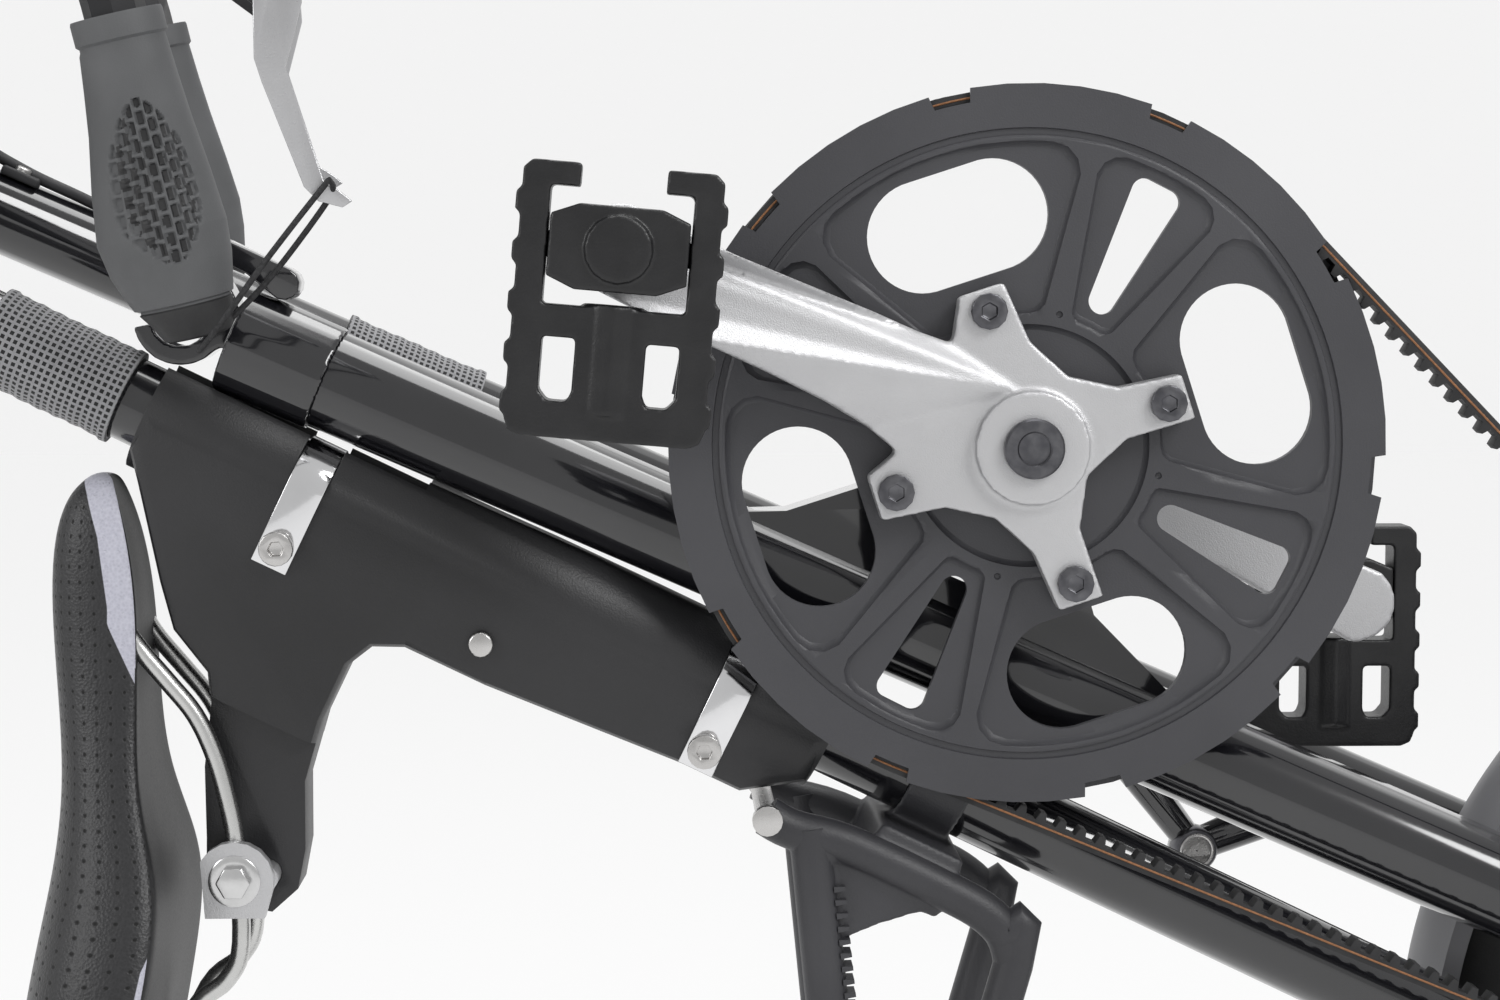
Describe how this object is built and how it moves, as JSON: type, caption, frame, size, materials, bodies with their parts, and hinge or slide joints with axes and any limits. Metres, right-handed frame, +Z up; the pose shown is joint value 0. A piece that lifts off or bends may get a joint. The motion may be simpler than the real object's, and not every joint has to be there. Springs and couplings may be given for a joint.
{
  "type": "folding bicycle",
  "caption": "Folding bicycle with three tubes, toothed belt drive and one-sided wheels, standing folded on its wheels and rack.",
  "frame": {"origin": "on the floor, under the middle of the folded bicycle's bounding box", "axes": "+X from the handlebar towards the wheels, +Y away from the belt side, +Z up"},
  "size_m": [1.1004, 0.3482, 0.7487],
  "materials": {
    "gloss_black_frame": "gloss",
    "matt_black_metal": "matte",
    "black_plastic": "matte",
    "pulley_nylon": "matte",
    "seat_moulding_plastic": "matte",
    "rack_plastic": "matte",
    "satin_aluminium": "satin",
    "chrome": "polished",
    "zinc_steel": "satin",
    "black_bolts": "satin",
    "belt_rubber": "matte",
    "tyre_rubber": "matte",
    "grip_rubber": "matte",
    "saddle_leather": "satin",
    "mudguard_plastic": "satin",
    "strap_fabric": "matte"
  },
  "bodies": {
    "seat_frame": {"seat_tube": "gloss_black_frame", "top_lug": "gloss_black_frame", "top_pin": "zinc_steel", "rear_lug": "gloss_black_frame", "rear_mudguard": "mudguard_plastic", "rear_caliper": "matt_black_metal", "seat_moulding": "seat_moulding_plastic", "moulding_bolt": "zinc_steel", "upper_band": "chrome", "lower_band": "chrome", "upper_band_bolt": "zinc_steel", "lower_band_bolt": "zinc_steel", "saddle_pad": "saddle_leather", "saddle_rails": "chrome", "saddle_clamp": "satin_aluminium", "clamp_bolt": "zinc_steel", "rack": "rack_plastic", "rack_bolt": "zinc_steel", "tube_strap": "strap_fabric"},
    "bottom_frame": {"bottom_tube": "gloss_black_frame", "claw": "gloss_black_frame", "toothed_belt": "belt_rubber"},
    "claw_catch": {"claw_lever": "gloss_black_frame"},
    "crank_set": {"bracket_spindle": "zinc_steel", "belt_pulley": "pulley_nylon", "right_crank": "satin_aluminium", "left_crank": "satin_aluminium", "crank_cap": "black_plastic", "chain_bolt_1": "black_bolts", "chain_bolt_2": "black_bolts", "chain_bolt_3": "black_bolts", "chain_bolt_4": "black_bolts"},
    "sprocket": {"rear_sprocket": "zinc_steel"},
    "right_pedal": {"right_pedal_block": "black_plastic"},
    "right_pedal_cage": {"right_pedal_frame": "black_plastic"},
    "left_pedal": {"left_pedal_block": "black_plastic"},
    "left_pedal_cage": {"left_pedal_frame": "black_plastic"},
    "rear_roller": {"rear_wheel": "gloss_black_frame", "rear_tyre": "tyre_rubber", "rear_disc": "zinc_steel", "rear_spindle": "zinc_steel"},
    "front_frame": {"front_tube": "gloss_black_frame", "ball_bracket": "gloss_black_frame", "stem": "matt_black_metal", "front_strap": "strap_fabric", "front_caliper": "matt_black_metal", "front_nut": "zinc_steel"},
    "front_roller": {"front_wheel": "gloss_black_frame", "front_tyre": "tyre_rubber", "front_disc": "zinc_steel"},
    "right_half": {"right_bar": "matt_black_metal", "right_grip": "grip_rubber", "right_perch": "matt_black_metal"},
    "right_lever": {"right_brake_lever": "satin_aluminium"},
    "left_half": {"left_bar": "matt_black_metal", "left_grip": "grip_rubber", "left_perch": "matt_black_metal"},
    "left_lever": {"left_brake_lever": "satin_aluminium"}
  },
  "joints": [
    {"name": "front_tube_fold", "type": "hinge", "parent": "seat_frame", "child": "front_frame", "pos_m": [-0.4754, 0.0399, 0.5531], "axis": [0.015, -0.9926, -0.1203], "range_deg": [0, 62]},
    {"name": "bottom_tube_fold", "type": "hinge", "parent": "seat_frame", "child": "bottom_frame", "pos_m": [0.3276, -0.0541, 0.2], "axis": [0, 1, 0], "range_deg": [0, 42]},
    {"name": "crank_turn", "type": "hinge", "parent": "bottom_frame", "child": "crank_set", "pos_m": [-0.04534, -0.0021, 0.45297], "axis": [0, 1, 0], "range_deg": [-170, 100], "deforming": ["toothed_belt"]},
    {"name": "sprocket_turn", "type": "hinge", "parent": "bottom_frame", "child": "sprocket", "pos_m": [0.3276, -0.0826, 0.2], "axis": [0, 1, 0], "range_deg": [-607.14, 357.14]},
    {"name": "right_pedal_spin", "type": "hinge", "parent": "crank_set", "child": "right_pedal", "pos_m": [-0.19414, -0.1291, 0.52427], "axis": [0, 1, 0], "continuous": true},
    {"name": "left_pedal_spin", "type": "hinge", "parent": "crank_set", "child": "left_pedal", "pos_m": [0.10346, 0.0359, 0.38168], "axis": [0, 1, 0], "continuous": true},
    {"name": "right_pedal_fold", "type": "hinge", "parent": "right_pedal", "child": "right_pedal_cage", "pos_m": [-0.19414, -0.1621, 0.52427], "axis": [-0.9962, 0, 0.0872], "range_deg": [0, 90]},
    {"name": "left_pedal_fold", "type": "hinge", "parent": "left_pedal", "child": "left_pedal_cage", "pos_m": [0.10346, 0.0689, 0.38168], "axis": [1, 0, 0], "range_deg": [0, 90]},
    {"name": "rear_wheel_spin", "type": "hinge", "parent": "seat_frame", "child": "rear_roller", "pos_m": [0.3276, -0.0021, 0.2], "axis": [0, 1, 0], "continuous": true},
    {"name": "front_wheel_spin", "type": "hinge", "parent": "front_frame", "child": "front_roller", "pos_m": [0.35103, 0.11109, 0.2], "axis": [-0.1146, 0.9921, 0.0508], "continuous": true},
    {"name": "right_bar_fold", "type": "hinge", "parent": "front_frame", "child": "right_half", "pos_m": [-0.44588, -0.12121, 0.71502], "axis": [-0.7836, -0.0588, -0.6185], "range_deg": [0, 90]},
    {"name": "left_bar_fold", "type": "hinge", "parent": "front_frame", "child": "left_half", "pos_m": [-0.47177, 0.10301, 0.7265], "axis": [0.7836, 0.0588, 0.6185], "range_deg": [0, 90]},
    {"name": "right_lever_squeeze", "type": "hinge", "parent": "right_half", "child": "right_lever", "pos_m": [-0.31377, -0.11393, 0.61488], "axis": [-0.1146, 0.9921, 0.0508], "range_deg": [0, 12], "stiffness_Nm_per_rad": 0.5},
    {"name": "left_lever_squeeze", "type": "hinge", "parent": "left_half", "child": "left_lever", "pos_m": [-0.34265, 0.13608, 0.62768], "axis": [-0.1146, 0.9921, 0.0508], "range_deg": [0, 12], "stiffness_Nm_per_rad": 0.5},
    {"name": "claw_release", "type": "hinge", "parent": "bottom_frame", "child": "claw_catch", "pos_m": [-0.31962, -0.0541, 0.51201], "axis": [0, 1, 0], "range_deg": [0, 70]}
  ],
  "couplings": [
    {"joint": "sprocket_turn", "follows": "crank_turn", "ratio": 3.5714}
  ]
}
